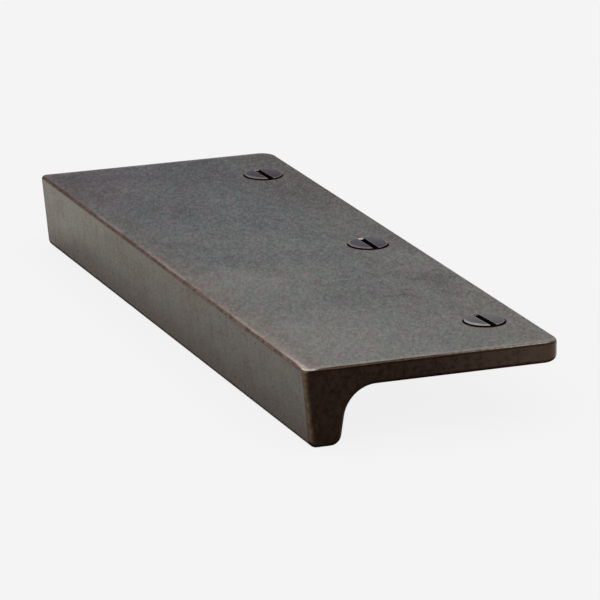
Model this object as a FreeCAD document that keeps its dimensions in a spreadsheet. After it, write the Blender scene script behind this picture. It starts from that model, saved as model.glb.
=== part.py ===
"""Tab pull for a drawer edge: one bronze casting and its three slotted countersunk screws.

Frame, in millimetres: X along the pull, Y from the lip towards the back edge, Z up.
The origin is on the plate's underside, on the axis of the middle screw.
"""
import FreeCAD
import Part
import Sketcher
import os

# Driving sizes: alias, value, what it is. Lengths in millimetres, angles in degrees.
SIZES = [
    ("pull_length", 127.0, "length of the pull, end to end"),
    ("pull_width", 44.8, "front edge to back edge, across the top"),
    ("plate_thickness", 3.77, "thickness of the plate"),
    ("lip_depth", 13.25, "top of the plate to the foot of the lip"),
    ("lip_foot_width", 5.2, "width of the lip's foot, its edges taken as sharp"),
    ("front_draft", 6.0, "lean of the lip's front face from upright"),
    ("finger_draft", 8.0, "lean of the lip's finger face from upright"),
    ("finger_fillet", 5.5, "radius where the finger face meets the plate"),
    ("foot_front_radius", 1.3, "rounding of the foot's front edge"),
    ("foot_back_radius", 1.9, "rounding of the foot's back edge"),
    ("back_corner_radius", 2.8, "plan radius of the two back corners"),
    ("lower_edge_radius", 1.1, "rounding of the upright and lower edges of the ends and back"),
    ("top_edge_radius", 0.6, "rounding of the edges round the top face"),
    ("screw_spacing", 48.8, "distance from one screw to the next"),
    ("screw_inset", 7.2, "screw axis to the back edge"),
    ("hole_clearance", 0.2, "gap round the shank, radially, in its hole"),
    ("seat_clearance", 0.1, "gap round the head's cone, radially, in its seat"),
    ("rim_groove", 0.2, "groove round the head, radially, at the plate's top"),
    ("head_diameter", 6.65, "widest part of the screw head"),
    ("head_angle", 82.0, "full angle of the head's cone and of its seat"),
    ("head_rise", 0.13, "how far the head stands proud of the plate"),
    ("head_rim_radius", 0.09, "rounding of the head's top edge"),
    ("slot_width", 1.15, "width of the screwdriver slot"),
    ("slot_depth", 1.1, "depth of the screwdriver slot"),
    ("slot_turn_left", 2.5, "turn of the slot from the pull's length, screw at the -X end"),
    ("slot_turn_middle", 0.5, "turn of the slot, middle screw"),
    ("slot_turn_right", 4.0, "turn of the slot, screw at the +X end"),
    ("shank_diameter", 3.5, "plain shank under the head"),
    ("shank_below_plate", 0.3, "how far the plain shank passes the underside"),
    ("thread_diameter", 3.0, "mean diameter of the threaded length"),
    ("thread_length", 1.62, "threaded length above the point"),
    ("point_length", 2.2, "tapered point"),
    ("point_diameter", 0.4, "blunt end of the point"),
]

# An edge counts as sharp when the faces beside it turn by more than this, in radians.
SHARP_TURN = 0.05
# Two places count as one when they are this near, in millimetres.
SAME_PLACE = 1e-4

Vector = FreeCAD.Vector
os.makedirs("parts", exist_ok=True)
doc = FreeCAD.newDocument("TabPull")


def make_sheet():
    """The spreadsheet of driving sizes, one to a row."""
    new_sheet = doc.addObject("Spreadsheet::Sheet", "Sizes")
    for row, (alias, value, meaning) in enumerate(SIZES, start=1):
        new_sheet.set(f"A{row}", meaning)
        new_sheet.set(f"B{row}", str(value))
        new_sheet.setAlias(f"B{row}", alias)
    doc.recompute()
    return new_sheet


sheet = make_sheet()


def size(alias):
    """The sheet's value of one size."""
    return float(sheet.get(alias))


def new_sketch(body, name, plane):
    """A sketch on one of the body's own origin planes."""
    sketch = body.newObject("Sketcher::SketchObject", name)
    origin_plane = [feature for feature in body.Origin.OriginFeatures if feature.Role == plane][0]
    sketch.AttachmentSupport = [(origin_plane, "")]
    sketch.MapMode = "FlatFace"
    return sketch


def draw_outline(sketch, corners):
    """A closed outline of straight lines; line n runs from corner n to the next."""
    count = len(corners)
    for index, (across, up) in enumerate(corners):
        next_across, next_up = corners[(index + 1) % count]
        start = Vector(across, up, 0)
        end = Vector(next_across, next_up, 0)
        sketch.addGeometry(Part.LineSegment(start, end), False)
    for index in range(count):
        sketch.addConstraint(Sketcher.Constraint("Coincident", index, 2, (index + 1) % count, 1))


def set_length(sketch, kind, name, first, second, expression):
    """A named dimension from corner first to corner second, tied to the sheet. None is the origin."""
    value = sketch.evalExpression(expression)
    ends = []
    for corner in (first, second):
        ends += [-1, 1] if corner is None else [corner, 1]
    constraint = Sketcher.Constraint(kind, *ends, float(getattr(value, "Value", value)))
    number = sketch.addConstraint(constraint)
    sketch.renameConstraint(number, name)
    sketch.setExpression(f"Constraints.{name}", expression)


def edge_names(shape, wanted):
    """Names of the shape's edges that pass a test."""
    return [f"Edge{number}" for number, edge in enumerate(shape.Edges, start=1) if wanted(edge)]


def runs_through(edge, across, up):
    """Whether an edge runs along X through one corner of the section."""
    ends = [vertex.Point for vertex in edge.Vertexes]
    return all(abs(end.y - across) < SAME_PLACE and abs(end.z - up) < SAME_PLACE for end in ends)


def is_back_corner(edge):
    """Whether an edge is one of the two uprights at the back of the plate."""
    ends = [vertex.Point for vertex in edge.Vertexes]
    at_back = all(abs(end.y - size("screw_inset")) < SAME_PLACE for end in ends)
    return at_back and abs(ends[0].x - ends[-1].x) < SAME_PLACE


def is_top(edge):
    """Whether an edge lies in the plate's top face."""
    return abs(edge.BoundBox.ZMin - size("plate_thickness")) < SAME_PLACE


def is_sharp(shape, edge):
    """Whether the two faces beside an edge meet at an angle there."""
    middle = edge.valueAt((edge.FirstParameter + edge.LastParameter) / 2.0)
    normals = []
    for face in shape.ancestorsOfType(edge, Part.Face):
        normals.append(face.normalAt(*face.Surface.parameter(middle)))
    return len(normals) == 2 and normals[0].getAngle(normals[1]) > SHARP_TURN


def round_edges(body, base, name, edges, radius):
    """A fillet of named edges, its radius tied to the sheet."""
    fillet = body.newObject("PartDesign::Fillet", name)
    fillet.Base = (base, edges)
    fillet.Radius = size(radius)
    fillet.setExpression("Radius", f"Sizes.{radius}")
    doc.recompute()
    return fillet


def draw_section(body):
    """The section of plate and lip, drawn with sharp corners."""
    sketch = new_sketch(body, "Section", "YZ_Plane")
    back = size("screw_inset")
    front = back - size("pull_width")
    top = size("plate_thickness")
    foot = top - size("lip_depth")
    foot_back = front + size("lip_foot_width")
    corners = [(front, top), (back, top), (back, 0.0), (foot_back, 0.0), (foot_back, foot), (front, foot)]
    draw_outline(sketch, corners)
    for line, direction in ((0, "Horizontal"), (1, "Vertical"), (2, "Horizontal"), (4, "Horizontal")):
        sketch.addConstraint(Sketcher.Constraint(direction, line))
    sketch.addConstraint(Sketcher.Constraint("PointOnObject", 2, 1, -1))
    lip = "(Sizes.lip_depth - Sizes.plate_thickness)"
    set_length(sketch, "DistanceX", "inset", None, 1, "Sizes.screw_inset")
    set_length(sketch, "DistanceX", "width", 0, 1, "Sizes.pull_width")
    set_length(sketch, "DistanceY", "thickness", 2, 1, "Sizes.plate_thickness")
    set_length(sketch, "DistanceY", "depth", 5, 0, "Sizes.lip_depth")
    set_length(sketch, "DistanceX", "foot", 5, 4, "Sizes.lip_foot_width")
    set_length(sketch, "DistanceX", "front_lean", 0, 5, "Sizes.lip_depth * tan(Sizes.front_draft)")
    set_length(sketch, "DistanceX", "finger_lean", 4, 3, f"{lip} * tan(Sizes.finger_draft)")
    doc.recompute()
    return sketch


def drill_holes(body):
    """Three countersunk holes on the screw line, bored from the top face."""
    sketch = new_sketch(body, "HoleCentres", "XY_Plane")
    sketch.setExpression("AttachmentOffset.Base.z", "Sizes.plate_thickness")
    drawn_radius = size("shank_diameter") / 2.0
    for place in (-1, 0, 1):
        centre = Vector(place * size("screw_spacing"), 0, 0)
        circle = sketch.addGeometry(Part.Circle(centre, Vector(0, 0, 1), drawn_radius), False)
        number = sketch.addConstraint(Sketcher.Constraint("Radius", circle, drawn_radius))
        sketch.setExpression(f"Constraints[{number}]", "Sizes.shank_diameter / 2")
    left, middle, right = 0, 1, 2
    sketch.addConstraint(Sketcher.Constraint("Coincident", middle, 3, -1, 1))
    sketch.addConstraint(Sketcher.Constraint("PointOnObject", left, 3, -1))
    sketch.addConstraint(Sketcher.Constraint("PointOnObject", right, 3, -1))
    for first, second in ((left, middle), (middle, right)):
        spacing = Sketcher.Constraint("DistanceX", first, 3, second, 3, size("screw_spacing"))
        number = sketch.addConstraint(spacing)
        sketch.setExpression(f"Constraints[{number}]", "Sizes.screw_spacing")
    doc.recompute()
    hole = body.newObject("PartDesign::Hole", "ScrewHoles")
    hole.Profile = sketch
    doc.recompute()
    hole.ThreadType = "None"
    hole.DepthType = "ThroughAll"
    hole.HoleCutType = "Countersink"
    hole.HoleCutCustomValues = True
    hole.setExpression("Diameter", "Sizes.shank_diameter + 2 * Sizes.hole_clearance")
    hole.setExpression("HoleCutDiameter", "Sizes.head_diameter + 2 * Sizes.rim_groove")
    hole.setExpression("HoleCutCountersinkAngle", "Sizes.head_angle")
    doc.recompute()
    return hole


def make_casting():
    """The pull itself: plate and lip in one, its edges rounded, with three countersunk holes."""
    body = doc.addObject("PartDesign::Body", "PullCasting")
    body.Label = "pull_casting"
    section = draw_section(body)
    solid = body.newObject("PartDesign::Pad", "Length")
    solid.Profile = section
    solid.setExpression("Length", "Sizes.pull_length")
    solid.SideType = "Symmetric"
    doc.recompute()
    along = [("FingerFillet", 3, "finger_fillet"), ("FootFront", 5, "foot_front_radius"),
             ("FootBack", 4, "foot_back_radius")]
    for name, corner, radius in along:
        place = section.getPoint(corner, 1)
        edges = edge_names(solid.Shape, lambda edge: runs_through(edge, place.x, place.y))
        solid = round_edges(body, solid, name, edges, radius)
    upright = edge_names(solid.Shape, lambda edge: is_back_corner(edge))
    solid = round_edges(body, solid, "BackCorners", upright, "back_corner_radius")
    lower = edge_names(solid.Shape, lambda edge: is_sharp(solid.Shape, edge) and not is_top(edge))
    solid = round_edges(body, solid, "LowerEdges", lower, "lower_edge_radius")
    upper = edge_names(solid.Shape, lambda edge: is_sharp(solid.Shape, edge) and is_top(edge))
    solid = round_edges(body, solid, "TopEdges", upper, "top_edge_radius")
    before = solid.Shape.Volume
    body.Tip = drill_holes(body)
    doc.recompute()
    assert body.Shape.Volume < before, "the holes did not cut"
    return body


def draw_screw_profile(body):
    """Half the outline of a screw, from the head's top to the point. Height 0 is the plate's top."""
    sketch = new_sketch(body, "ScrewProfile", "XZ_Plane")
    head = "Sizes.head_diameter / 2"
    shank = "Sizes.shank_diameter / 2"
    thread = "Sizes.thread_diameter / 2"
    land = "(Sizes.rim_groove - Sizes.seat_clearance) / tan(Sizes.head_angle / 2)"
    cone = f"{land} + ({head} - {shank}) / tan(Sizes.head_angle / 2)"
    plain = "Sizes.plate_thickness + Sizes.shank_below_plate"
    threaded = f"{plain} + Sizes.thread_length"
    whole = f"{threaded} + Sizes.point_length"
    top = size("head_rise")
    # Corners from the land's foot down: name, radius, depth below the plate's top.
    corners = [("land", head, land), ("cone", shank, cone), ("shank", shank, plain), ("step", thread, plain),
               ("thread", thread, threaded), ("point", "Sizes.point_diameter / 2", whole)]
    drawn = [(0.0, top), (size("head_diameter") / 2.0, top)]
    for _, radius, depth in corners:
        across, down = (sketch.evalExpression(text) for text in (radius, depth))
        drawn.append((float(across), -float(down)))
    drawn.append((0.0, drawn[-1][1]))
    draw_outline(sketch, drawn)
    last = len(drawn) - 1
    for line, direction in ((0, "Horizontal"), (1, "Vertical"), (last - 1, "Horizontal")):
        sketch.addConstraint(Sketcher.Constraint(direction, line))
    for corner in (0, last):
        sketch.addConstraint(Sketcher.Constraint("PointOnObject", corner, 1, -2))
    set_length(sketch, "DistanceY", "rise", None, 1, "Sizes.head_rise")
    for corner, (name, radius, depth) in enumerate(corners, start=2):
        set_length(sketch, "DistanceX", f"{name}_radius", None, corner, radius)
        set_length(sketch, "DistanceY", f"{name}_depth", corner, None, depth)
    doc.recompute()
    return sketch


def cut_slot(body):
    """The screwdriver slot across the head, along X."""
    sketch = new_sketch(body, "Slot", "XY_Plane")
    sketch.setExpression("AttachmentOffset.Base.z", "Sizes.head_rise")
    half_length = size("head_diameter")
    half_width = size("slot_width") / 2.0
    corners = [(-half_length, -half_width), (half_length, -half_width),
               (half_length, half_width), (-half_length, half_width)]
    draw_outline(sketch, corners)
    for line, direction in enumerate(("Horizontal", "Vertical", "Horizontal", "Vertical")):
        sketch.addConstraint(Sketcher.Constraint(direction, line))
    set_length(sketch, "DistanceX", "reach_left", 0, None, "Sizes.head_diameter")
    set_length(sketch, "DistanceX", "reach_right", None, 1, "Sizes.head_diameter")
    set_length(sketch, "DistanceY", "near_side", 0, None, "Sizes.slot_width / 2")
    set_length(sketch, "DistanceY", "far_side", None, 2, "Sizes.slot_width / 2")
    pocket = body.newObject("PartDesign::Pocket", "SlotCut")
    pocket.Profile = sketch
    pocket.setExpression("Length", "Sizes.slot_depth")
    doc.recompute()
    return pocket


def make_screw():
    """One slotted countersunk wood screw, its slot along X."""
    body = doc.addObject("PartDesign::Body", "Screw")
    profile = draw_screw_profile(body)
    turned = body.newObject("PartDesign::Revolution", "Turned")
    turned.Profile = profile
    turned.ReferenceAxis = (profile, ["V_Axis"])
    turned.Angle = 360.0
    doc.recompute()
    top = size("head_rise")
    rim = edge_names(turned.Shape, lambda edge: edge.Closed and abs(edge.BoundBox.ZMin - top) < SAME_PLACE)
    rounded = round_edges(body, turned, "HeadRim", rim, "head_rim_radius")
    body.Tip = cut_slot(body)
    doc.recompute()
    assert body.Shape.Volume < rounded.Shape.Volume, "the slot did not cut"
    return body


def make_screws(screw):
    """The three screws in their seats, each a turned copy of the one screw."""
    placed = []
    for place, turn in ((-1, "slot_turn_left"), (0, "slot_turn_middle"), (1, "slot_turn_right")):
        copy = doc.addObject("App::Link", f"Placed_{turn}")
        copy.LinkedObject = screw
        copy.setExpression("Placement.Base.x", f"{place} * Sizes.screw_spacing")
        copy.setExpression("Placement.Base.z", "Sizes.plate_thickness")
        copy.setExpression("Placement.Rotation.Angle", f"Sizes.{turn}")
        placed.append(copy)
    group = doc.addObject("Part::Compound", "MountingScrews")
    group.Label = "mounting_screws"
    group.Links = placed
    doc.recompute()
    return group


def write_parts(parts):
    """Checks every object of the document and writes each sub-part to its own file."""
    doc.recompute()
    for item in doc.Objects:
        assert not {"Invalid", "Error"} & set(item.State), f"{item.Name}: {item.getStatusString()}"
    for item, solids in parts:
        shape = item.Shape
        assert not shape.isNull() and shape.isValid(), item.Label
        assert len(shape.Solids) == solids, item.Label
        shape.exportStep(f"parts/{item.Label}.step")


casting = make_casting()
screws = make_screws(make_screw())
write_parts([(casting, 1), (screws, 3)])
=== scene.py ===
"""Looks of the tab pull: patinated cast bronze, its three slotted screws, a pale floor and soft light.

Lengths are in metres in the part's own frame: X along the pull, Y from the lip to the back, Z up.
The materials count in millimetres in the same frame. The near end is the one at +X.
"""
import math
from collections import namedtuple

import bmesh
import bpy
from mathutils import Matrix, Vector


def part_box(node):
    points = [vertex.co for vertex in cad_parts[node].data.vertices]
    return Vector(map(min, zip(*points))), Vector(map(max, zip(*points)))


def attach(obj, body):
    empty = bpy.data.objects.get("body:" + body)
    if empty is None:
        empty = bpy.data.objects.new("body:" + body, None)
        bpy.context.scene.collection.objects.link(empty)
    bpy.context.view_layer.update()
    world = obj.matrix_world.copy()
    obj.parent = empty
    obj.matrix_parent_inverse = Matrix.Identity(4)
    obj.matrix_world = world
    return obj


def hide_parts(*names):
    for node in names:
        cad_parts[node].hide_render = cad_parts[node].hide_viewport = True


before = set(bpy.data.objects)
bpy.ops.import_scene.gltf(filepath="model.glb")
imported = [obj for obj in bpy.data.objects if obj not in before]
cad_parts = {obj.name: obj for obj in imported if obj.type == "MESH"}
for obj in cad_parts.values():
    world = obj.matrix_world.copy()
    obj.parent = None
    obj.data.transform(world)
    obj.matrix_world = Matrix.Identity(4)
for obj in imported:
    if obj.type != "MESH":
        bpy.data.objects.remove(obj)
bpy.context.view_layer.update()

MM = 0.001

# A noise: features to the millimetre, levels of finer detail, and how strong each level is
Grain = namedtuple("Grain", "per_mm detail roughness", defaults=(0.55,))
# A smooth step from the value low, at start, to the value high, at end
Step = namedtuple("Step", "start end low high", defaults=(0.0, 1.0))
# A round patch of the top: its middle, along X and back from the front edge, its reach, and its strength
Patch = namedtuple("Patch", "along back reach strength", defaults=(1.0,))

# Places on the part, from the frame
casting_low, casting_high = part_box("pull_casting")
plate_top = casting_high.z
screw_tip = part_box("mounting_screws")[0].z
# The same in millimetres, for the materials
END_X = casting_high.x / MM
FRONT_Y = casting_low.y / MM
BACK_Y = casting_high.y / MM
TOP_Z = casting_high.z / MM
FOOT_Z = casting_low.z / MM

# Camera: where it stands, seen from the point it looks at, and its lens
VIEW_AZIMUTH = math.radians(67.96)
VIEW_ELEVATION = math.radians(16.62)
VIEW_ROLL = math.radians(0.16)
VIEW_DISTANCE = 0.814
VIEW_AIM = Vector((3.1, -13.8, -3.98)) * MM
LENS_MM = 286.5
SENSOR_MM = 36.0
CLIP_START = 0.01

# Level of the plain pale background, in linear light
BACKGROUND = 0.896
# How much of the floor is plain background where it is seen, and where metal mirrors it.
# The rest of it takes the light and the shadow.
SEEN_PLAIN = 0.955
MIRRORED_PLAIN = 0.1
FLOOR_HALF_SIDE = 4.0
# The side that the soft surround is brightest on, and its strength from the far side to this one
BRIGHT_SIDE = Vector((-0.75, -0.60, 0.28)).normalized()
SURROUND = Step(-0.9, 0.9, 0.4, 1.5)
# The lamp overhead
LAMP_DIRECTION = Vector((0.28, 0.36, 0.89))
LAMP_DISTANCE = 1.4
LAMP_SIDE = 0.5
LAMP_POWER = 4.0

# Screw sizes, as the part has them
HEAD_RADIUS = 3.325 * MM
HEAD_RISE = 0.13 * MM
HEAD_RIM_RADIUS = 0.09 * MM
HEAD_HALF_ANGLE = math.radians(41.0)
RIM_GROOVE = 0.2 * MM
SEAT_CLEARANCE = 0.1 * MM
SHANK_RADIUS = 1.75 * MM
SHANK_BELOW_PLATE = 0.3 * MM
SLOT_WIDTH = 1.15 * MM
SLOT_DEPTH = 1.1 * MM
POINT_LENGTH = 2.2 * MM
POINT_RADIUS = 0.2 * MM
SCREW_SPACING = 48.8 * MM
# The cut thread: its radii and pitch, the share of a pitch that its ridge takes, and how much of the ridge
# is left at the point
THREAD_CREST = 1.75 * MM
THREAD_ROOT = 1.25 * MM
THREAD_PITCH = 1.41 * MM
RIDGE_SHARE = 0.55
RIDGE_AT_POINT = 0.25
# Fineness of the screws' meshes
TURN_STEPS = 96
RIM_STEPS = 5
ROWS_PER_PITCH = 14
SHARP_ANGLE = math.radians(40.0)

# The three screws from the far one to the near one: the place in the row, the slot's turn, the tint of the
# sheen, which is painted reflection, and how strong the painted highlight on the head is
Screw = namedtuple("Screw", "name place turn sheen rub")
# The sheen tints are painted reflection: lightest on the near screw, darker and more purple towards the
# far one
SCREWS = (Screw("screw_left", -1, math.radians(2.5), (0.66, 0.64, 0.71, 1.0), 0.40),
          Screw("screw_middle", 0, math.radians(0.5), (0.73, 0.73, 0.81, 1.0), 0.28),
          Screw("screw_right", 1, math.radians(4.0), (0.93, 0.95, 0.955, 1.0), 1.0))

# Colours of the bronze and its patina, seen square on
PATINA_DARK = (0.0115, 0.0062, 0.0044, 1.0)
PATINA_RED = (0.0225, 0.0117, 0.0086, 1.0)
PATINA_OLIVE = (0.0205, 0.0135, 0.0090, 1.0)
PATINA_TAN = (0.0480, 0.0325, 0.0235, 1.0)
# Thin patina on the top, and painted reflection high on the far part of the front
PATINA_THIN_AND_REFLECTION = (0.0430, 0.0335, 0.0265, 1.0)
# Painted shade on faces that look down
PAINTED_SHADE_LOW = (0.0120, 0.0078, 0.0060, 1.0)
TOP_WEAR = (0.250, 0.215, 0.180, 1.0)
# Wear at the near front corner, painted brighter as a highlight
CORNER_WEAR_AND_HIGHLIGHT = (0.620, 0.550, 0.470, 1.0)
BROW_WEAR = (0.125, 0.092, 0.078, 1.0)
PINK_WEAR = (0.270, 0.222, 0.205, 1.0)
SIDE_WEAR = (0.095, 0.064, 0.038, 1.0)
# Fresh metal at the tops of the seats, made bright enough to be partly a painted glint
FRESH_METAL_AND_GLINT = (0.32, 0.288, 0.222, 1.0)
# Painted shade, round the seats and in the screws' slots and round their heads' sides
PAINTED_SHADE = (0.0080, 0.0020, 0.0018, 1.0)
SCREW_DARK = (0.0150, 0.0100, 0.0092, 1.0)
SCREW_LIGHT = (0.0230, 0.0160, 0.0150, 1.0)
RIM_WEAR = (0.260, 0.235, 0.220, 1.0)
# Painted highlight on a crescent of each head
HEAD_HIGHLIGHT = (0.240, 0.235, 0.215, 1.0)

# Tints of the sheen that the patina has at a glancing angle
SHEEN_DEEP = (0.895, 0.92, 1.0, 1.0)
SHEEN_MIDDLE = (0.892, 0.957, 0.984, 1.0)
SHEEN_THIN = (0.960, 1.0, 0.970, 1.0)
SHEEN_ROSE = (0.98, 0.88, 0.95, 1.0)
SHEEN_WARM = (0.97, 0.94, 0.88, 1.0)
SHEEN_GREEN = (0.88, 0.98, 0.95, 1.0)
SHEEN_BLUSH = (0.960, 0.882, 0.847, 1.0)
SHEEN_BROW = (0.83, 0.735, 0.69, 1.0)
# Painted shade on faces towards the far end
SHEEN_FAR_SHADED = (0.15, 0.15, 0.20, 1.0)
# Painted shade on faces that look down
SHEEN_SHADED_LOW = (0.50, 0.45, 0.42, 1.0)
SHEEN_SPECK = (0.30, 0.30, 0.30, 1.0)
# Painted shade round the seats takes a dark red sheen
SHEEN_SHADE = (0.30, 0.10, 0.10, 1.0)
# The front face's sheen, lit towards its top and with painted shade towards its foot
SHEEN_FRONT_LIT = (1.0, 0.990, 0.940, 1.0)
SHEEN_FRONT_SHADED = (0.93, 0.885, 0.850, 1.0)
SHEEN_FRONT_STREAK = (0.915, 0.865, 0.825, 1.0)

# Which way a face looks that counts as the top, the front or an end, by its normal's part along the axis
UPWARD = Step(0.9, 0.99)
FORWARD = Step(-0.9, -0.985)
ENDWARD = Step(0.8, 0.95)
# Where the plate's end shows more wear: from well behind the lip to the screws
TOWARDS_BACK = Step(FRONT_Y + 15.5, BACK_Y - 3.2)

# The direction that the top's fine grain is brushed in, from X, and how far it is drawn out along it
BRUSH_ANGLE = math.radians(-22.0)
BRUSH_STRETCH = 2.6
# Clouds and mottle are drawn out along the pull, and streaks run down the front
DRAWN_ALONG = (0.5, 1.0, 1.0)
SMEARED_ALONG = (0.6, 1.0, 1.0)
DRAWN_DOWN = (1.0, 0.12, 0.12)


# Small helpers for node trees
class Nodes:
    """Adds nodes to one tree and links them, so that a material reads as a list of steps."""

    def __init__(self, tree):
        self.tree = tree
        self.tree.nodes.clear()

    def add(self, kind, settings=None, **inputs):
        """A node with its settings and its inputs, each a value or another node's output socket."""
        node = self.tree.nodes.new(kind)
        for name, value in (settings or {}).items():
            setattr(node, name, value)
        for name, value in inputs.items():
            self.feed(node, name, value)
        return node

    def feed(self, node, name, value):
        """Sets or links one input, named in words with underscores, or numbered as in1."""
        if name.startswith("in") and name[2:].isdigit():
            socket = node.inputs[int(name[2:])]
        else:
            socket = node.inputs[name.replace("_", " ")]
        if isinstance(value, bpy.types.NodeSocket):
            self.tree.links.new(value, socket)
        else:
            socket.default_value = value

    def math(self, operation, first, second=0.0, clamp=False):
        """One Math node's result."""
        settings = {"operation": operation, "use_clamp": clamp}
        return self.add("ShaderNodeMath", settings, in0=first, in1=second).outputs[0]

    def vector(self, operation, **inputs):
        """One Vector Math node."""
        return self.add("ShaderNodeVectorMath", {"operation": operation}, **inputs)

    def times(self, first, *others):
        """The product of values."""
        product = first
        for other in others:
            product = self.math("MULTIPLY", product, other)
        return product

    def plus(self, first, *others):
        """The sum of values."""
        total = first
        for other in others:
            total = self.math("ADD", total, other)
        return total

    def most(self, first, *others):
        """The greatest of values."""
        greatest = first
        for other in others:
            greatest = self.math("MAXIMUM", greatest, other)
        return greatest

    def unsigned(self, value):
        """A value without its sign."""
        return self.math("ABSOLUTE", value)

    def step(self, value, step):
        """A value taken through a smooth step."""
        node = self.add("ShaderNodeMapRange", {"interpolation_type": "SMOOTHSTEP"}, Value=value,
                        From_Min=step.start, From_Max=step.end, To_Min=step.low, To_Max=step.high)
        return node.outputs["Result"]

    def mix(self, factor, first, second):
        """A colour part way between two."""
        node = self.add("ShaderNodeMix", {"data_type": "RGBA"}, in0=factor, in6=first, in7=second)
        return node.outputs[2]

    def blend(self, factor, first, second):
        """A number part way between two."""
        node = self.add("ShaderNodeMix", {"data_type": "FLOAT"}, in0=factor, in2=first, in3=second)
        return node.outputs[0]

    def noise(self, place, grain):
        """A noise value about a half."""
        node = self.add("ShaderNodeTexNoise", Vector=place, Scale=grain.per_mm, Detail=grain.detail,
                        Roughness=grain.roughness)
        return node.outputs["Fac"]

    def swing(self, place, grain, amount):
        """A noise value that swings about nought, by at most half an amount either way."""
        return self.times(self.math("SUBTRACT", self.noise(place, grain), 0.5), amount)


def new_material(name):
    """An empty node material."""
    material = bpy.data.materials.new(name)
    material.use_nodes = True
    return material, Nodes(material.node_tree)


class Surface:
    """Where a point of the part is, in millimetres, and which way it faces."""

    def __init__(self, nodes):
        self.nodes = nodes
        position = nodes.add("ShaderNodeTexCoord").outputs["Object"]
        self.place = nodes.vector("SCALE", in0=position, Scale=1 / MM).outputs[0]
        where = nodes.add("ShaderNodeSeparateXYZ", Vector=self.place)
        self.x, self.y, self.z = where.outputs
        normal = nodes.add("ShaderNodeNewGeometry").outputs["Normal"]
        facing = nodes.add("ShaderNodeSeparateXYZ", Vector=normal)
        self.to_x, self.to_y, self.to_z = facing.outputs

    def drawn(self, scale):
        """The place with its axes scaled apart. Noise on it is drawn out along the axes scaled down."""
        return self.nodes.vector("MULTIPLY", in0=self.place, in1=scale).outputs[0]

    def brushed(self):
        """The place drawn out along the direction that the top is brushed in."""
        mapped = self.nodes.add("ShaderNodeMapping", {"vector_type": "TEXTURE"}, Vector=self.place,
                                Rotation=(0.0, 0.0, BRUSH_ANGLE), Scale=(BRUSH_STRETCH, 1.0, 1.0))
        return mapped.outputs[0]

    def from_axis(self, spacing, shift=(0.0, 0.0)):
        """Distance from the nearest of the upright axes along X, at a spacing, all moved by a shift."""
        along = self.nodes.math("SUBTRACT", self.x, shift[0])
        beside = self.nodes.math("SUBTRACT", self.y, shift[1])
        wrapped = self.nodes.add("ShaderNodeMath", {"operation": "WRAP"}, in0=along, in1=spacing / 2,
                                 in2=-spacing / 2)
        across = self.nodes.add("ShaderNodeCombineXYZ", X=wrapped.outputs[0], Y=beside)
        return self.nodes.vector("LENGTH", in0=across.outputs[0]).outputs["Value"]

    def patch(self, patch, edge=0.0):
        """A patch's strength at its middle, down to nought at its reach. An edge roughens its outline."""
        middle = (patch.along, FRONT_Y + patch.back, TOP_Z)
        distance = self.nodes.vector("DISTANCE", in0=self.place, in1=middle).outputs["Value"]
        roughened = self.nodes.plus(distance, edge)
        return self.nodes.step(roughened, Step(patch.reach, 0.0, 0.0, patch.strength))

    def upward(self):
        """1 on the top."""
        return self.nodes.step(self.to_z, UPWARD)

    def forward(self):
        """1 on the front face."""
        return self.nodes.step(self.to_y, FORWARD)

    def endward(self):
        """1 on both ends."""
        return self.nodes.step(self.nodes.unsigned(self.to_x), ENDWARD)


# How deep the patina lies: deeper towards the far end, with clouded patches, a mottle and smears
DEPTH_ALONG = Step(END_X + 6.5, -END_X - 26.5, 0.22, 0.82)
DEEP_PATCHES = (Patch(-60.0, -0.5, 20.0, 0.16),
                Patch(-38.0, 42.5, 13.0, 0.10),
                Patch(-8.0, 43.5, 16.0, 0.06),
                Patch(25.0, 39.5, 12.0, 0.16),
                Patch(25.0, 25.5, 14.0, 0.12))
THIN_PATCHES = (Patch(52.0, 8.5, 22.0, -0.34),
                Patch(12.0, 11.5, 17.0, -0.22))
CLOUD = Grain(0.12, 5.0, 0.65)
CLOUD_PUSH = 40.0
MOTTLE = Grain(0.5, 4.0, 0.6)
MOTTLE_DEPTH = 0.3
SMEAR = Grain(0.13, 3.0)
SMEAR_DEPTH = 0.5


def patina_depth(nodes, surface):
    """How dark and dull the patina is, 0 to 1: deepest at the far front corner, thin at the near end."""
    depth = nodes.step(surface.x, DEPTH_ALONG)
    ragged = nodes.swing(surface.place, CLOUD, CLOUD_PUSH)
    for patch in DEEP_PATCHES + THIN_PATCHES:
        depth = nodes.plus(depth, surface.patch(patch, ragged))
    mottle = nodes.swing(surface.drawn(DRAWN_ALONG), MOTTLE, MOTTLE_DEPTH)
    smear = nodes.swing(surface.drawn(SMEARED_ALONG), SMEAR, SMEAR_DEPTH)
    return nodes.math("ADD", nodes.plus(depth, mottle), smear, clamp=True)


# Browns of the patina, in blotches
BLOTCH = Grain(0.9, 5.0, 0.7)
BLOTCH_BROWN = Step(0.32, 0.62)
RED_OLIVE = Grain(0.7, 3.0)
RED_TO_OLIVE = Step(0.42, 0.58)
# The ends turn tan towards the back, in two steps
TAN_BROAD = Step(FRONT_Y + 15.5, BACK_Y + 1.8, 0.0, 1.2)
TAN_BACK = Step(BACK_Y - 9.2, BACK_Y - 0.2, 0.0, 0.7)
TAN_BLOTCH = Step(0.3, 0.6, 0.45, 1.0)
# It is thin on the top near the front corner, and the far upper part of the front is lighter as a painted
# reflection
THIN_PATCH = Patch(54.0, 8.5, 24.0)
THIN_OUTLINE = Grain(0.2, 5.0, 0.75)
THIN_PUSH = 60.0
FRONT_REFLECTION_ALONG = Step(40.0, -60.0)
FRONT_REFLECTION_UP = Step(FOOT_Z + 1.5, FOOT_Z + 7.5)
THIN_BLOTCH = Step(0.3, 0.6, 0.55, 1.0)
# Painted shade: faces that look down are darker
DOWNWARD = Step(-0.1, -0.5)
LOW_BLOTCH = Step(0.32, 0.62, 0.95, 0.45)


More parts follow.
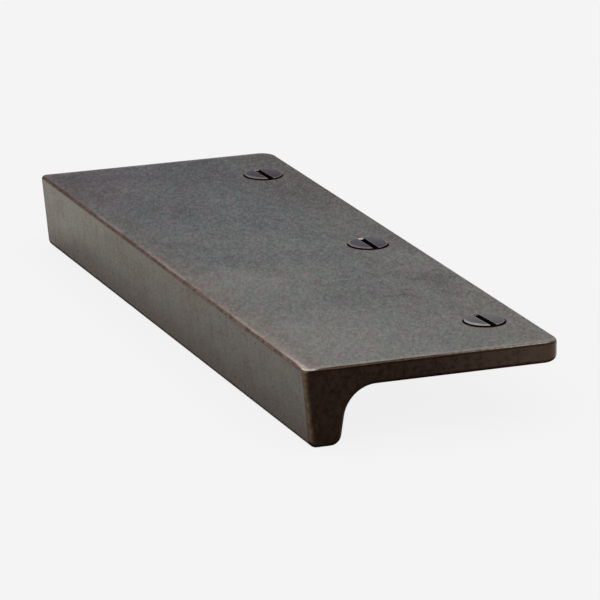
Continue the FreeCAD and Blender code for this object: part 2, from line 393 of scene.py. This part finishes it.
def patina_colour(nodes, surface):
    """Patina brown before wear, seen square on; painted shade on downward faces, painted reflection high
    on the far front.
    """
    blotch = nodes.noise(surface.place, BLOTCH)
    olive = nodes.step(nodes.noise(surface.place, RED_OLIVE), RED_TO_OLIVE)
    brown = nodes.mix(olive, PATINA_RED, PATINA_OLIVE)
    brown = nodes.mix(nodes.step(blotch, BLOTCH_BROWN), PATINA_DARK, brown)

    backward = nodes.plus(nodes.step(surface.y, TAN_BROAD), nodes.step(surface.y, TAN_BACK))
    tan = nodes.times(surface.endward(), backward, nodes.step(blotch, TAN_BLOTCH))
    brown = nodes.mix(tan, brown, PATINA_TAN)

    ragged = nodes.swing(surface.place, THIN_OUTLINE, THIN_PUSH)
    thin_top = nodes.times(surface.upward(), surface.patch(THIN_PATCH, ragged))
    # Painted reflection: lighter high on the far part of the front
    front_reflection = nodes.times(surface.forward(), nodes.step(surface.x, FRONT_REFLECTION_ALONG),
                             nodes.step(surface.z, FRONT_REFLECTION_UP))
    thin = nodes.times(nodes.most(thin_top, front_reflection), nodes.step(blotch, THIN_BLOTCH))
    brown = nodes.mix(thin, brown, PATINA_THIN_AND_REFLECTION)

    # Painted shade on faces that look down
    low = nodes.times(nodes.step(surface.to_z, DOWNWARD), nodes.step(blotch, LOW_BLOTCH))
    return nodes.mix(low, brown, PAINTED_SHADE_LOW)


# The brow is the rounding between the top and the front face, notched along its upper edge
BROW_LEAN = Step(-0.12, -0.36)
BROW_UPPER = Step(0.9995, 0.990)
BROW_LOWER = Step(0.1, 0.3)
NOTCH = Grain(0.8, 5.0, 0.75)
NOTCH_LEAN = 0.5


def front_brow(nodes, surface):
    """1 on the rounding between the top and the front face, with an uneven upper edge."""
    lean = nodes.plus(surface.to_y, nodes.swing(surface.place, NOTCH, NOTCH_LEAN))
    upper = nodes.times(nodes.step(lean, BROW_LEAN), nodes.step(surface.to_z, BROW_UPPER))
    return nodes.times(nodes.step(surface.to_z, BROW_LOWER), upper)


# Wear along all rounded edges: how evenly the metal is rubbed, and how the worn band wavers
RUBBED = Grain(1.3, 5.0, 0.75)
RUBBED_LEVEL = Step(0.35, 0.65, 0.45, 1.0)
WAVER = Grain(0.45, 3.0)
WAVER_LEAN = 0.3
PATCHY = Grain(0.09, 3.0, 0.6)
PATCHY_LEVEL = Step(0.40, 0.62, 0.15, 1.0)
# Top edges: the worn band of the rounding, how much broader it gets, and its strength along each edge
CORNER_RUB = Patch(END_X, 0.0, 4.5)
CORNER_BROADER = 0.18
BACK_BROADER = 0.24
WORN_BAND = Step(0.84, 0.95)
WORN_BAND_START = Step(0.9998, 0.997)
END_LEAN = Step(0.0, 0.2)
END_LEVEL = TOWARDS_BACK._replace(low=0.34, high=0.62)
FRONT_LEAN = Step(0.0, -0.2)
FRONT_LEVEL = Step(-END_X - 11.5, END_X - 1.5, 0.25, 0.75)
# Upright edges: the turn between the ends and the other sides, and how far up and down it counts
TURN_BEGINS = Step(0.0, 0.40)
TURN_ENDS = Step(1.0, 0.55)
END_FLAT = Step(0.999, 0.97)
BELOW_TOP_EDGE = Step(0.8, 0.6)
ABOVE_LOWER_EDGE = Step(-0.45, -0.1)
# The brow
NICK = Grain(0.7, 5.0, 0.8)
BROW_LEVEL = Step(-END_X + 3.5, END_X + 0.5, 0.34, 0.62)


def top_edge_wear(nodes, surface, rubbed, waver):
    """Light wear along the top's end and front edges, and its share at the near front corner, which takes
    a painted highlight.
    """
    corner = surface.patch(CORNER_RUB)
    towards_back = nodes.times(nodes.step(surface.y, TOWARDS_BACK), BACK_BROADER)
    broader = nodes.most(nodes.times(corner, CORNER_BROADER), towards_back)
    tilt = nodes.plus(surface.to_z, waver, broader)
    band = nodes.times(nodes.step(tilt, WORN_BAND), nodes.step(surface.to_z, WORN_BAND_START))
    end_edge = nodes.times(nodes.step(surface.to_x, END_LEAN), nodes.step(surface.y, END_LEVEL))
    patchy = nodes.step(nodes.noise(surface.place, PATCHY), PATCHY_LEVEL)
    front_edge = nodes.times(nodes.step(surface.to_y, FRONT_LEAN), nodes.step(surface.x, FRONT_LEVEL),
                             patchy)
    wear = nodes.times(band, rubbed, nodes.most(end_edge, front_edge, corner))
    return wear, nodes.times(wear, corner)


def upright_edge_wear(nodes, surface, rubbed, waver):
    """Brown wear down the upright edges at both ends."""
    to_end = nodes.unsigned(surface.to_x)
    wavering = nodes.plus(to_end, waver)
    turn = nodes.times(nodes.step(wavering, TURN_BEGINS), nodes.step(wavering, TURN_ENDS))
    below_top = nodes.step(surface.to_z, BELOW_TOP_EDGE)
    above_foot = nodes.step(surface.to_z, ABOVE_LOWER_EDGE)
    return nodes.times(turn, nodes.step(to_end, END_FLAT), below_top, above_foot, rubbed)


def brow_wear(nodes, surface):
    """Pinkish wear over the brow, more towards the near end."""
    nicked = nodes.step(nodes.noise(surface.place, NICK), PATCHY_LEVEL)
    return nodes.times(front_brow(nodes, surface), nodes.step(surface.x, BROW_LEVEL), nicked)


# Rubbed grain on the flat of the top, close to its edges: a scatter, a heavier stretch by the near corner,
# and thin lines that follow the edges
SPECKLE = Grain(1.8, 4.0, 0.75)
SCATTER_LEVEL = Step(0.50, 0.70)
SCATTER_FRONT = Step(FRONT_Y + 4.03, FRONT_Y + 0.13)
SCATTER_ALONG = Step(-30.0, END_X + 0.5, 0.35, 1.0)
SCATTER_END = Step(END_X - 3.0, END_X - 0.1)
STRETCH_LEVEL = Step(0.50, 0.70, 0.35, 0.95)
STRETCH_FRONT = Step(FRONT_Y + 3.13, FRONT_Y + 0.33)
STRETCH_ALONG = Step(25.0, END_X - 1.5)
LINE_LEVEL = Step(0.40, 0.60, 0.2, 1.0)
LINE_FRONT = Step(FRONT_Y + 1.33, FRONT_Y + 0.73)
LINE_ALONG = Step(-END_X - 16.5, END_X - 1.5, 0.2, 0.45)
LINE_END = Step(END_X - 1.4, END_X - 0.8, 0.0, 0.4)
TIP_PATCH = Patch(END_X, 0.0, 15.0)
TIP_FRONT = Step(FRONT_Y + 1.73, FRONT_Y + 0.63, 0.0, 1.1)


def edge_rub(nodes, surface):
    """Rubbed grain on the flat of the top, close to its front and end edges."""
    speckle = nodes.noise(surface.place, SPECKLE)
    from_middle = nodes.unsigned(surface.x)
    by_front = nodes.times(nodes.step(surface.y, SCATTER_FRONT), nodes.step(surface.x, SCATTER_ALONG))
    by_edges = nodes.most(by_front, nodes.step(from_middle, SCATTER_END))
    scatter = nodes.times(by_edges, nodes.step(speckle, SCATTER_LEVEL))
    stretch = nodes.times(nodes.step(surface.y, STRETCH_FRONT), nodes.step(surface.x, STRETCH_ALONG),
                          nodes.step(speckle, STRETCH_LEVEL))
    patchy = nodes.step(nodes.noise(surface.place, PATCHY), LINE_LEVEL)
    line = nodes.times(nodes.step(surface.y, LINE_FRONT), nodes.step(surface.x, LINE_ALONG), patchy)
    tip = nodes.times(surface.patch(TIP_PATCH), nodes.step(surface.y, TIP_FRONT))
    return nodes.most(scatter, stretch, nodes.plus(line, tip), nodes.step(from_middle, LINE_END))


# How strongly the flat's rubbed grain shows, and the faint flakes all over the top
EDGE_RUB_STRENGTH = 0.6
FLAKE = Grain(1.9, 2.0, 0.5)
FLAKE_LEVEL = Step(0.62, 0.80, 0.0, 0.2)


def worn_colour(nodes, surface, colour):
    """A colour with all the wear of the casting on it."""
    rubbed = nodes.step(nodes.noise(surface.place, RUBBED), RUBBED_LEVEL)
    waver = nodes.swing(surface.place, WAVER, WAVER_LEAN)
    top_wear, corner_wear_and_highlight = top_edge_wear(nodes, surface, rubbed, waver)
    colour = nodes.mix(upright_edge_wear(nodes, surface, rubbed, waver), colour, SIDE_WEAR)
    colour = nodes.mix(brow_wear(nodes, surface), colour, BROW_WEAR)
    colour = nodes.mix(top_wear, colour, TOP_WEAR)
    # Painted highlight over the wear at the near front corner
    colour = nodes.mix(corner_wear_and_highlight, colour, CORNER_WEAR_AND_HIGHLIGHT)
    upward = surface.upward()
    rub = nodes.times(edge_rub(nodes, surface), upward, EDGE_RUB_STRENGTH)
    colour = nodes.mix(rub, colour, PINK_WEAR)
    flake = nodes.step(nodes.noise(surface.brushed(), FLAKE), FLAKE_LEVEL)
    return nodes.mix(nodes.times(flake, upward), colour, PINK_WEAR)


# Seats of the screws: their radius, the bright metal at the top of each, which is partly a painted glint,
# and a ring of painted shade round it
SEAT_RADIUS = (HEAD_RADIUS + RIM_GROOVE) / MM
SEAT_INSIDE = Step(SEAT_RADIUS + 0.02, SEAT_RADIUS - 0.02)
# Partly a painted glint: the bright band at a seat's top is as deep as the glint seen through the slot,
# and weaker at the far and near screws
GLINT_DOWN_TO = Step(TOP_Z - 0.21, TOP_Z - 0.15)
GLINT_FAR = Step(-60.0, -5.0, 0.75, 1.0)
GLINT_NEAR = Step(5.0, 45.0, 1.0, 0.55)
# Painted shade: a dark ring round each seat's rim, set off towards the near end and the front, and the
# seat below its bright top, all dark as shade
SHADE_SHIFT = (0.46, -0.18)
SHADE_RING = Step(SEAT_RADIUS + 0.14, SEAT_RADIUS + 0.06)
SHADE_DOWN_TO = Step(-1.0, 0.1)
SHADE_ROUGHNESS = 0.9


def seat_masks(nodes, surface):
    """The bright metal at the top of each seat, partly a painted glint, and the painted shade round its
    rim and down the rest of it.
    """
    inside = nodes.step(surface.from_axis(SCREW_SPACING / MM), SEAT_INSIDE)
    fresh_and_glint = nodes.times(inside, nodes.step(surface.z, GLINT_DOWN_TO), nodes.step(surface.x, GLINT_FAR),
                        nodes.step(surface.x, GLINT_NEAR))
    ring = nodes.step(surface.from_axis(SCREW_SPACING / MM, SHADE_SHIFT), SHADE_RING)
    line = nodes.times(nodes.most(inside, ring), nodes.step(surface.z, SHADE_DOWN_TO))
    return fresh_and_glint, nodes.math("SUBTRACT", line, fresh_and_glint, clamp=True)


# Sheen of the top: by the patina's depth, by clouds of rose and green, by place, and by a fine tinge
DEEP_LEVEL = Step(0.66, 1.0)
THIN_LEVEL = Step(0.62, 0.25)
HUE = Grain(0.45, 5.0, 0.8)
HUE_ROSE = Step(0.50, 0.64, 0.0, 0.7)
HUE_GREEN = Step(0.50, 0.36, 0.0, 0.5)
ROSE_CORNER = Patch(-52.0, 0.5, 24.0, 0.6)
WARM_BACK = Step(BACK_Y - 16.2, BACK_Y - 1.2, 0.0, 0.35)
TINGE = Grain(1.5, 2.0, 0.6)
TINGE_ROSE = Step(0.50, 0.70, 0.0, 0.28)
TINGE_GREEN = Step(0.50, 0.30, 0.0, 0.28)
BLUSH_FRONT = Step(FRONT_Y + 7.53, FRONT_Y + 0.53)
BLUSH_ALONG = Step(-50.0, 10.0, 0.2, 0.6)


def top_sheen(nodes, surface, depth):
    """The top's glancing tint: bluish where the patina is deep, olive where thin, warm at two edges."""
    sheen = nodes.mix(nodes.step(depth, DEEP_LEVEL), SHEEN_MIDDLE, SHEEN_DEEP)
    sheen = nodes.mix(nodes.step(depth, THIN_LEVEL), sheen, SHEEN_THIN)
    hue = nodes.noise(surface.drawn(DRAWN_ALONG), HUE)
    rose = nodes.most(nodes.step(hue, HUE_ROSE), surface.patch(ROSE_CORNER))
    sheen = nodes.mix(rose, sheen, SHEEN_ROSE)
    sheen = nodes.mix(nodes.step(hue, HUE_GREEN), sheen, SHEEN_GREEN)
    sheen = nodes.mix(nodes.step(surface.y, WARM_BACK), sheen, SHEEN_WARM)
    tinge = nodes.noise(surface.brushed(), TINGE)
    sheen = nodes.mix(nodes.step(tinge, TINGE_ROSE), sheen, SHEEN_ROSE)
    sheen = nodes.mix(nodes.step(tinge, TINGE_GREEN), sheen, SHEEN_GREEN)
    blush = nodes.times(nodes.step(surface.y, BLUSH_FRONT), nodes.step(surface.x, BLUSH_ALONG))
    return nodes.mix(blush, sheen, SHEEN_BLUSH)


# Sheen of the front face: lighter towards its top, as painted shade at its foot, streaked downwards and
# clouded, with a few pits
FRONT_UP = Step(FOOT_Z + 0.5, FOOT_Z + 7.0)
STREAK = Grain(1.0, 5.0, 0.75)
STREAK_SHARE = 0.6
FRONT_CLOUD = Grain(0.25, 4.0, 0.6)
STREAK_LEVEL = Step(0.42, 0.60, 0.0, 0.8)
PIT = Grain(1.1, 1.0, 0.5)
PIT_LEVEL = Step(0.74, 0.80, 0.0, 0.6)


def front_sheen(nodes, surface):
    """The front face's glancing tint, with painted shade towards its foot."""
    sheen = nodes.mix(nodes.step(surface.z, FRONT_UP), SHEEN_FRONT_SHADED, SHEEN_FRONT_LIT)
    streak = nodes.noise(surface.drawn(DRAWN_DOWN), STREAK)
    cloud = nodes.noise(surface.drawn(DRAWN_ALONG), FRONT_CLOUD)
    streaked = nodes.blend(STREAK_SHARE, cloud, streak)
    sheen = nodes.mix(nodes.step(streaked, STREAK_LEVEL), sheen, SHEEN_FRONT_STREAK)
    pits = nodes.step(nodes.noise(surface.place, PIT), PIT_LEVEL)
    return nodes.mix(pits, sheen, SHEEN_SPECK)


# Faces that take little sheen, by their normals, as painted shade: those towards the far end, and those
# that look down
FAR_FACING = Step(-0.01, -0.12)
UNDER_FACING = Step(-0.05, -0.35)
# Fine grain of duller and brighter specks: their sheen, their roughness and their relief
SPECK = Grain(2.25, 3.0, 0.7)
SPECK_SHEEN = Step(0.78, 0.22, 0.0, 0.155)
DEPTH_ROUGHNESS = Step(0.1, 1.0, 0.34, 0.50)
SPECK_ROUGHNESS = Step(0.25, 0.75, 0.053, -0.053)
FRONT_ROUGHNESS = Step(0.25, 0.75, 0.32, 0.16)
RELIEF = Step(0.0, 1.0, 0.15, 0.5)
RELIEF_HEIGHT = 0.06 * MM


def casting_sheen(nodes, surface, depth, speck, seat_shade):
    """The glancing tint of the whole casting."""
    sheen = nodes.mix(surface.forward(), top_sheen(nodes, surface, depth), front_sheen(nodes, surface))
    sheen = nodes.mix(front_brow(nodes, surface), sheen, SHEEN_BROW)
    sheen = nodes.mix(nodes.step(surface.to_x, FAR_FACING), sheen, SHEEN_FAR_SHADED)
    sheen = nodes.mix(nodes.step(surface.to_z, UNDER_FACING), sheen, SHEEN_SHADED_LOW)
    specks = nodes.times(surface.upward(), nodes.step(speck, SPECK_SHEEN))
    sheen = nodes.mix(specks, sheen, SHEEN_SPECK)
    # Painted shade round the seats
    return nodes.mix(seat_shade, sheen, SHEEN_SHADE)


def casting_roughness(nodes, surface, depth, speck, seat_shade):
    """Duller where the patina is deep, smoother on the front face, and matt in the painted shade of the
    seats.
    """
    top = nodes.plus(nodes.step(depth, DEPTH_ROUGHNESS), nodes.step(speck, SPECK_ROUGHNESS))
    clean = nodes.blend(surface.forward(), top, nodes.step(speck, FRONT_ROUGHNESS))
    return nodes.blend(seat_shade, clean, SHADE_ROUGHNESS)


def bronze_material():
    """Cast bronze under a dark brown patina, rubbed through along its rounded edges."""
    material, nodes = new_material("patinated_bronze")
    surface = Surface(nodes)
    depth = patina_depth(nodes, surface)
    speck = nodes.noise(surface.brushed(), SPECK)
    fresh_and_glint, seat_shade = seat_masks(nodes, surface)
    colour = worn_colour(nodes, surface, patina_colour(nodes, surface))
    # The seats' tops get bright metal that is partly a painted glint, and their rims and walls get painted
    # shade
    colour = nodes.mix(seat_shade, nodes.mix(fresh_and_glint, colour, FRESH_METAL_AND_GLINT), PAINTED_SHADE)
    sheen = casting_sheen(nodes, surface, depth, speck, seat_shade)
    roughness = casting_roughness(nodes, surface, depth, speck, seat_shade)
    relief = nodes.step(surface.upward(), RELIEF)
    bump = nodes.add("ShaderNodeBump", Strength=relief, Distance=RELIEF_HEIGHT, Height=speck)
    shader = nodes.add("ShaderNodeBsdfPrincipled", Base_Color=colour, Metallic=1.0, Roughness=roughness,
                       Specular_Tint=sheen, Normal=bump.outputs["Normal"])
    nodes.add("ShaderNodeOutputMaterial", Surface=shader.outputs[0])
    return material


# Screws: tone and grain of the patina
SCREW_TONE = Grain(0.6, 3.0)
SCREW_GRAIN = Grain(3.0, 3.0, 0.6)
SCREW_ROUGHNESS = Step(0.2, 0.8, 0.40, 0.50)
SCREW_RELIEF = 0.25
SCREW_RELIEF_HEIGHT = 0.02 * MM
# Rubbed edges of the head's rim and of the slot
HEAD_TOP_Z = (plate_top + HEAD_RISE) / MM
RIM_REACH = HEAD_RADIUS / MM
HALF_SLOT = SLOT_WIDTH / 2 / MM
RIM_BAND = Step(RIM_REACH - 0.14, RIM_REACH - 0.08)
RIM_LEAN = Step(0.995, 0.97)
SLOT_EDGE = Step(HALF_SLOT + 0.14, HALF_SLOT + 0.04, 0.0, 0.45)
EDGE_LEAN = Step(0.35, 0.75)
EDGE_DOWN_TO = Step(HEAD_TOP_Z - 0.1, HEAD_TOP_Z - 0.08)
# The painted highlight of a head is a crescent towards the near end and the front:
# what lies outside a circle, set off the middle along X and Y
CRESCENT_SHIFT = (-1.14, 1.29)
CRESCENT_EDGE = Step(3.94, 4.44)
HEAD_UPWARD = Step(0.7, 0.9)
CRESCENT_TONE = Step(0.3, 0.7, 0.7, 1.0)
# Painted shade in the slot and round the side of the head, down to a little above the plate's underside
IN_SLOT = Step(HALF_SLOT + 0.02, HALF_SLOT + 0.005)
SLOT_DOWN_FROM = Step(HEAD_TOP_Z - 0.03, HEAD_TOP_Z - 0.08)
HEAD_SIDE = Step(0.3, 0.1)
HEAD_SHADE_DOWN_TO = Step(0.5, 1.0)


def rubbed_edges(nodes, surface):
    """Where a head's rim and the edges of its slot are rubbed."""
    reach = surface.from_axis(4 * RIM_REACH)
    rim = nodes.times(nodes.step(reach, RIM_BAND), nodes.step(surface.to_z, RIM_LEAN))
    slot_edge = nodes.step(nodes.unsigned(surface.y), SLOT_EDGE)
    return nodes.times(nodes.most(rim, slot_edge), nodes.step(surface.to_z, EDGE_LEAN),
                       nodes.step(surface.z, EDGE_DOWN_TO))


def screw_shade(nodes, surface):
    """Painted shade in the slot and round the side of the head."""
    across = nodes.unsigned(surface.y)
    in_slot = nodes.times(nodes.step(across, IN_SLOT), nodes.step(surface.z, SLOT_DOWN_FROM))
    on_side = nodes.step(surface.to_z, HEAD_SIDE)
    return nodes.times(nodes.most(in_slot, on_side), nodes.step(surface.z, HEAD_SHADE_DOWN_TO))


def screw_material(screw):
    """A screw's finer, smoother patina, rubbed at the edges of head and slot, with a painted highlight on
    the head, and painted shade, black, in the slot and round the head's side.
    """
    material, nodes = new_material(screw.name + "_patina")
    surface = Surface(nodes)
    tone = nodes.noise(surface.place, SCREW_TONE)
    colour = nodes.mix(tone, SCREW_DARK, SCREW_LIGHT)
    colour = nodes.mix(rubbed_edges(nodes, surface), colour, RIM_WEAR)
    # Painted highlight: a light crescent on the head's side towards the near end and the front, strongest
    # on the near screw
    outside = nodes.step(surface.from_axis(4 * RIM_REACH, CRESCENT_SHIFT), CRESCENT_EDGE)
    crescent = nodes.times(outside, nodes.step(surface.to_z, HEAD_UPWARD), nodes.step(tone, CRESCENT_TONE),
                           screw.rub)
    colour = nodes.mix(crescent, colour, HEAD_HIGHLIGHT)
    # Painted shade, black, in the slot and round the side of the head
    head_shade = screw_shade(nodes, surface)
    colour = nodes.mix(head_shade, colour, PAINTED_SHADE)
    grain = nodes.noise(surface.place, SCREW_GRAIN)
    roughness = nodes.blend(head_shade, nodes.step(grain, SCREW_ROUGHNESS), SHADE_ROUGHNESS)
    bump = nodes.add("ShaderNodeBump", Strength=SCREW_RELIEF, Distance=SCREW_RELIEF_HEIGHT, Height=grain)
    # The screw's sheen tint is painted reflection, set for each screw
    shader = nodes.add("ShaderNodeBsdfPrincipled", Base_Color=colour, Metallic=1.0, Roughness=roughness,
                       Specular_Tint=screw.sheen, Normal=bump.outputs["Normal"])
    nodes.add("ShaderNodeOutputMaterial", Surface=shader.outputs[0])
    return material


# Shapes
def new_object(name, mesh):
    """An object in the scene, made of a finished mesh."""
    data = bpy.data.meshes.new(name)
    mesh.to_mesh(data)
    mesh.free()
    made = bpy.data.objects.new(name, data)
    bpy.context.collection.objects.link(made)
    return made


def head_rings():
    """Rings of a screw from the head's top to the end of its shank: radius, height and no thread."""
    head_top = plate_top + HEAD_RISE
    rings = []
    for step in range(RIM_STEPS + 1):
        angle = math.pi / 2 * (1 - step / RIM_STEPS)
        radius = HEAD_RADIUS - HEAD_RIM_RADIUS * (1 - math.cos(angle))
        height = head_top - HEAD_RIM_RADIUS * (1 - math.sin(angle))
        rings.append((radius, height, 0.0))
    land_foot = plate_top - (RIM_GROOVE - SEAT_CLEARANCE) / math.tan(HEAD_HALF_ANGLE)
    cone_depth = (HEAD_RADIUS - SHANK_RADIUS) / math.tan(HEAD_HALF_ANGLE)
    rings.append((HEAD_RADIUS, land_foot, 0.0))
    rings.append((SHANK_RADIUS, land_foot - cone_depth, 0.0))
    rings.append((SHANK_RADIUS, -SHANK_BELOW_PLATE, 0.0))
    return rings


def thread_rings():
    """Rings of a screw from its shank to its point: radius, height and how much of the thread's ridge."""
    length = -SHANK_BELOW_PLATE - screw_tip
    rows = math.ceil(length / THREAD_PITCH * ROWS_PER_PITCH)
    rings = []
    for row in range(1, rows + 1):
        height = -SHANK_BELOW_PLATE - length * row / rows
        taper = min(1.0, (height - screw_tip) / POINT_LENGTH)
        root = POINT_RADIUS + (THREAD_ROOT - POINT_RADIUS) * math.sin(taper * math.pi / 2)
        run_in = min(1.0, row / ROWS_PER_PITCH * 2)
        rings.append((root, height, run_in * min(1.0, RIDGE_AT_POINT + taper)))
    return rings


def thread_profile(turn):
    """Height of the thread's ridge, 0 to 1, at a place along one pitch."""
    across = abs((turn % 1.0) - 0.5) * 2.0
    return max(0.0, 1.0 - across / RIDGE_SHARE)


def screw_body(name):
    """One screw, unslotted, its axis through the origin."""
    mesh = bmesh.new()
    circles = []
    for radius, height, thread in head_rings() + thread_rings():
        circle = []
        for step in range(TURN_STEPS):
            turn = step / TURN_STEPS
            angle = 2 * math.pi * turn
            ridge = thread * (THREAD_CREST - THREAD_ROOT) * thread_profile(height / THREAD_PITCH - turn)
            reach = radius + ridge
            circle.append(mesh.verts.new((reach * math.cos(angle), reach * math.sin(angle), height)))
        circles.append(circle)
    for upper, lower in zip(circles, circles[1:]):
        for step in range(TURN_STEPS):
            following = (step + 1) % TURN_STEPS
            mesh.faces.new((upper[step], lower[step], lower[following], upper[following]))
    mesh.faces.new(circles[0])
    mesh.faces.new(list(reversed(circles[-1])))
    bmesh.ops.recalc_face_normals(mesh, faces=mesh.faces)
    return new_object(name, mesh)


def slot_cutter():
    """A block that cuts the screwdriver slot along X."""
    length = 3 * HEAD_RADIUS
    height = 2 * SLOT_DEPTH
    mesh = bmesh.new()
    bmesh.ops.create_cube(mesh, size=1.0)
    bmesh.ops.scale(mesh, vec=(length, SLOT_WIDTH, height), verts=mesh.verts)
    bmesh.ops.translate(mesh, vec=(0, 0, plate_top + HEAD_RISE), verts=mesh.verts)
    return new_object("slot_cutter", mesh)


def cut_slot(body):
    """Cuts the slot across a screw's head."""
    cutter = slot_cutter()
    cut = body.modifiers.new("slot", "BOOLEAN")
    cut.object = cutter
    cut.operation = "DIFFERENCE"
    cut.solver = "EXACT"
    bpy.context.view_layer.update()
    evaluated = body.evaluated_get(bpy.context.evaluated_depsgraph_get())
    body.data = bpy.data.meshes.new_from_object(evaluated)
    body.modifiers.clear()
    bpy.data.objects.remove(cutter)


def make_screws():
    """The three screws in their seats, each with its own turn and patina."""
    for screw in SCREWS:
        body = screw_body(screw.name)
        cut_slot(body)
        seat = Matrix.Translation((screw.place * SCREW_SPACING, 0, 0))
        body.matrix_world = seat @ Matrix.Rotation(screw.turn, 4, "Z")
        body.data.materials.clear()
        body.data.materials.append(screw_material(screw))
        body.data.polygons.foreach_set("use_smooth", [True] * len(body.data.polygons))
        body.data.set_sharp_from_angle(angle=SHARP_ANGLE)
        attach(body, "root")
        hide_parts("mounting_screws")


def dress_casting():
    """The casting keeps its own mesh and takes the bronze."""
    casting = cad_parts["pull_casting"]
    casting.data.materials.clear()
    casting.data.materials.append(bronze_material())


# Floor, light and camera
def floor_material():
    """A pale floor, mostly plain where it is seen and mostly lit by the lamps where metal mirrors it."""
    material, nodes = new_material("pale_floor")
    rays = nodes.add("ShaderNodeLightPath")
    seen = nodes.times(rays.outputs["Is Camera Ray"], SEEN_PLAIN)
    mirrored = nodes.most(rays.outputs["Is Glossy Ray"], rays.outputs["Is Transmission Ray"])
    plain = nodes.most(seen, nodes.times(mirrored, MIRRORED_PLAIN))
    colour = (BACKGROUND, BACKGROUND, BACKGROUND, 1.0)
    matt = nodes.add("ShaderNodeBsdfDiffuse", Color=colour)
    pale = nodes.add("ShaderNodeEmission", Color=colour, Strength=1.0)
    both = nodes.add("ShaderNodeMixShader", in0=plain, in1=matt.outputs[0], in2=pale.outputs[0])
    nodes.add("ShaderNodeOutputMaterial", Surface=both.outputs[0])
    return material


def make_floor():
    """A plain pale floor under the foot of the lip, which keeps a soft shadow."""
    mesh = bmesh.new()
    corners = []
    for x, y in ((-1, -1), (1, -1), (1, 1), (-1, 1)):
        corners.append(mesh.verts.new((x * FLOOR_HALF_SIDE, y * FLOOR_HALF_SIDE, casting_low.z)))
    mesh.faces.new(corners)
    floor = new_object("floor", mesh)
    floor.data.materials.append(floor_material())


def make_surround():
    """A soft surround, brighter on the side away from the camera, and plain where it is seen."""
    world = bpy.data.worlds.new("studio")
    bpy.context.scene.world = world
    world.use_nodes = True
    nodes = Nodes(world.node_tree)
    rays = nodes.add("ShaderNodeLightPath")
    direction = nodes.add("ShaderNodeTexCoord").outputs["Generated"]
    towards = nodes.vector("DOT_PRODUCT", in0=direction, in1=BRIGHT_SIDE).outputs["Value"]
    surround = nodes.step(towards, SURROUND)
    strength = nodes.blend(rays.outputs["Is Camera Ray"], surround, BACKGROUND)
    pale = nodes.add("ShaderNodeBackground", Color=(1.0, 1.0, 1.0, 1.0), Strength=strength)
    nodes.add("ShaderNodeOutputWorld", Surface=pale.outputs[0])


def make_lamp():
    """One broad lamp overhead."""
    lamp = bpy.data.lights.new("overhead", "AREA")
    lamp.shape = "RECTANGLE"
    lamp.size = LAMP_SIDE
    lamp.size_y = LAMP_SIDE
    lamp.energy = LAMP_POWER
    holder = bpy.data.objects.new("overhead", lamp)
    bpy.context.collection.objects.link(holder)
    holder.location = LAMP_DIRECTION * LAMP_DISTANCE
    holder.rotation_euler = LAMP_DIRECTION.to_track_quat("Z", "Y").to_euler()


def make_camera():
    """The camera at the photograph's viewing angle."""
    right = Vector((math.cos(VIEW_AZIMUTH), math.sin(VIEW_AZIMUTH), 0.0))
    level = Vector((right.y, -right.x, 0.0))
    away = level * math.cos(VIEW_ELEVATION) + Vector((0.0, 0.0, math.sin(VIEW_ELEVATION)))
    up = away.cross(right)
    rolled_right = right * math.cos(VIEW_ROLL) + up * math.sin(VIEW_ROLL)
    rolled_up = up * math.cos(VIEW_ROLL) - right * math.sin(VIEW_ROLL)
    lens = bpy.data.cameras.new("camera")
    lens.sensor_width = SENSOR_MM
    lens.lens = LENS_MM
    lens.clip_start = CLIP_START
    camera = bpy.data.objects.new("camera", lens)
    bpy.context.collection.objects.link(camera)
    turn = Matrix((rolled_right, rolled_up, away)).transposed().to_4x4()
    camera.matrix_world = Matrix.Translation(VIEW_AIM + away * VIEW_DISTANCE) @ turn
    bpy.context.scene.camera = camera


dress_casting()
make_screws()
make_floor()
make_surround()
make_lamp()
make_camera()
bpy.context.scene.view_settings.view_transform = "Standard"
